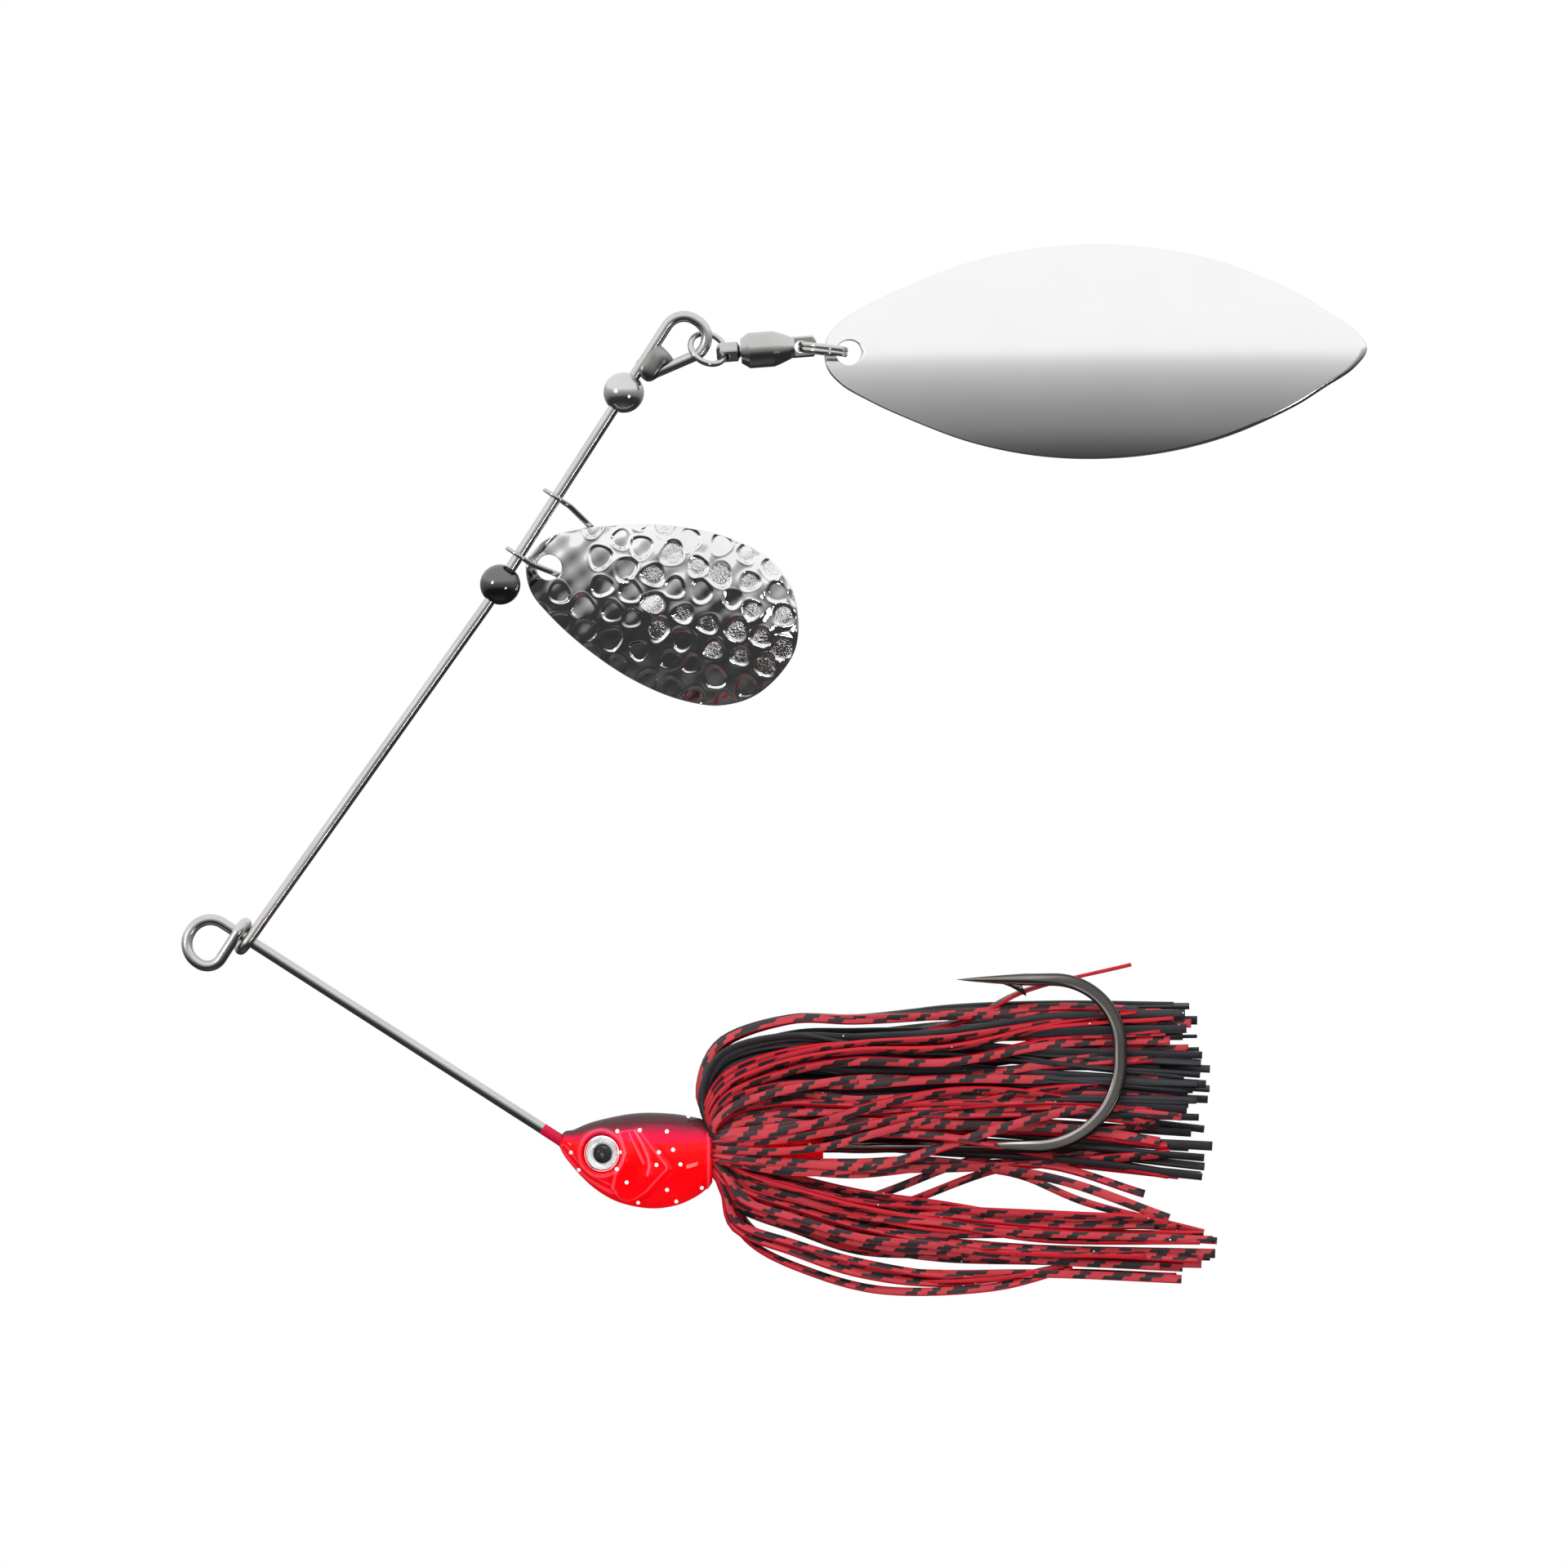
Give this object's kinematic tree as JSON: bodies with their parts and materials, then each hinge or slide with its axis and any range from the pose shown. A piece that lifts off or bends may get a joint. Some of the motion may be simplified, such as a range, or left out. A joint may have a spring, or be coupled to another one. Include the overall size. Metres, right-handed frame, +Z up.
{
  "type": "spinnerbait",
  "caption": "Safety-pin fishing lure: bent wire with an open line tie, painted head, skirted barbed hook, and a hammered blade and a smooth willow blade that turn on a bead, clevis and swivel.",
  "frame": {"origin": "centre of the line-tie eye, where the lure hangs from its line", "axes": "+Z up from the head to the line tie as the lure hangs; +X towards the blade arm; +Y square to the flat side of the wire form, through the line tie"},
  "size_m": [0.1025, 0.0086, 0.1161],
  "materials": {
    "steel_wire": "drawn stainless spring wire",
    "solder": "smooth tin solder",
    "stop_bead_metal": "polished, darker",
    "top_bead_metal": "polished",
    "clevis_plate": "polished plate",
    "front_blade_plate": "hammered, nickel plated",
    "rear_blade_plate": "smooth, nickel plated",
    "ring_wire": "polished",
    "swivel_metal": "polished nickel",
    "red_paint": "gloss red with glitter, darker back",
    "eye_foil": "bright foil",
    "eye_black": "gloss black",
    "eye_clear": "clear epoxy dome",
    "hook_nickel": "black nickel",
    "collar_rubber": "matt",
    "skirt_red": "silicone, red with black bars",
    "skirt_black": "silicone, black"
  },
  "bodies": {
    "wire_and_head": {"wire_form": "steel_wire", "loop_solder": "solder", "stop_bead": "stop_bead_metal", "head_casting": "red_paint", "eye_foil_left": "eye_foil", "eye_foil_right": "eye_foil", "eye_pupil_left": "eye_black", "eye_pupil_right": "eye_black", "eye_dome_left": "eye_clear", "eye_dome_right": "eye_clear", "hook": "hook_nickel", "skirt_collar": "collar_rubber", "skirt_upper_barred": "skirt_red", "skirt_upper_black": "skirt_black", "skirt_lower_barred": "skirt_red"},
    "top_bead": {"top_bead": "top_bead_metal"},
    "clevis": {"clevis": "clevis_plate"},
    "front_blade": {"front_blade": "front_blade_plate"},
    "loop_ring": {"loop_ring": "ring_wire"},
    "swivel_stud": {"swivel_front_eye": "swivel_metal"},
    "swivel_balls": {"swivel_balls": "swivel_metal"},
    "swivel_barrel": {"swivel_barrel": "swivel_metal", "swivel_cap": "swivel_metal", "swivel_rear_eye": "swivel_metal"},
    "split_ring": {"split_ring": "ring_wire"},
    "rear_blade": {"rear_blade": "rear_blade_plate"}
  },
  "joints": [
    {"name": "bead_slide", "type": "slide", "parent": "wire_and_head", "child": "top_bead", "axis": [0.8408, 0, -0.5414], "range_m": [-0.0094, 0]},
    {"name": "clevis_spin", "type": "hinge", "parent": "wire_and_head", "child": "clevis", "pos_m": [0.04082, 0, -0.03202], "axis": [0.8408, 0, -0.5414], "continuous": true},
    {"name": "front_blade_swing", "type": "hinge", "parent": "clevis", "child": "front_blade", "pos_m": [0.03685, 0.00192, -0.03313], "axis": [0, 1, 0], "range_deg": [-3, 25]},
    {"name": "loop_ring_swing", "type": "hinge", "parent": "wire_and_head", "child": "loop_ring", "pos_m": [0.05928, 0, -0.04635], "axis": [0, 1, 0], "range_deg": [-60, 4]},
    {"name": "swivel_swing", "type": "hinge", "parent": "loop_ring", "child": "swivel_stud", "pos_m": [0.0579, 0.00049, -0.05044], "axis": [0.8127, 0.5827, 0], "range_deg": [-35, 35]},
    {"name": "swivel_spin", "type": "hinge", "parent": "swivel_stud", "child": "swivel_barrel", "pos_m": [0.05783, 0.00049, -0.04954], "axis": [0.0732, 0, -0.9973], "continuous": true},
    {"name": "balls_roll", "type": "hinge", "parent": "swivel_stud", "child": "swivel_balls", "pos_m": [0.05783, 0.00049, -0.04954], "axis": [0.0732, 0, -0.9973], "continuous": true},
    {"name": "split_ring_swing", "type": "hinge", "parent": "swivel_barrel", "child": "split_ring", "pos_m": [0.05844, 0.00049, -0.05779], "axis": [0, 1, 0], "range_deg": [-35, 35]},
    {"name": "rear_blade_swing", "type": "hinge", "parent": "split_ring", "child": "rear_blade", "pos_m": [0.0579, 0.00049, -0.06216], "axis": [0, 1, 0], "range_deg": [-30, 30]}
  ],
  "couplings": [
    {"joint": "balls_roll", "follows": "swivel_spin", "ratio": 0.5}
  ]
}
